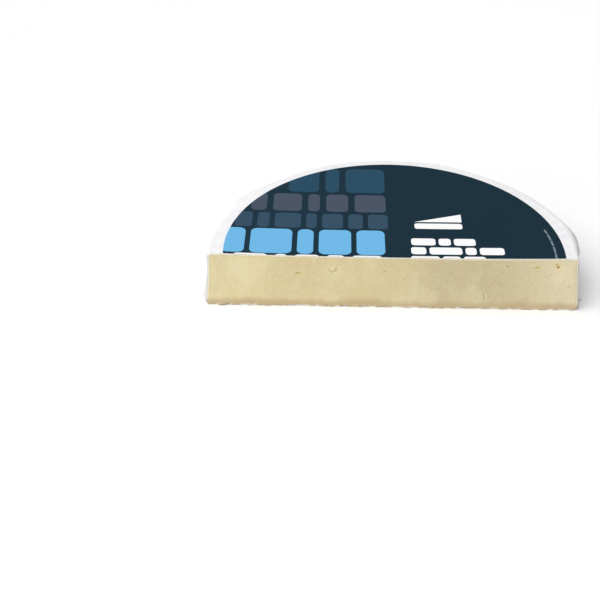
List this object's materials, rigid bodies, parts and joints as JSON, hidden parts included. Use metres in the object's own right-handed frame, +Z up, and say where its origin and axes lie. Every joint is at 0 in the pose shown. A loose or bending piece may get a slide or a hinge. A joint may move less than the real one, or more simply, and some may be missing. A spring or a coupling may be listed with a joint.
{
  "type": "half brie wheel",
  "caption": "Half wheel of white-rinded brie with its cut face open, in pleated white wrapping paper with a round printed top label.",
  "frame": {"origin": "where the axis of the whole wheel meets the surface that the half rests on", "axes": "+Z up along the wheel's axis; +X along the cut face; -Y out of the cut face, +Y to the wrapped round side"},
  "size_m": [0.2821, 0.1476, 0.0472],
  "materials": {
    "paste": "moist cut face of soft pale yellow cheese with a thin white rind",
    "paper": "thin matt white wrapping paper, pleated and slightly translucent",
    "label": "smooth printed paper, dark navy with rows of blue and plum shapes"
  },
  "bodies": {
    "root": {"cheese": "paste", "paper_wrap": "paper", "top_label": "label"}
  },
  "joints": []
}
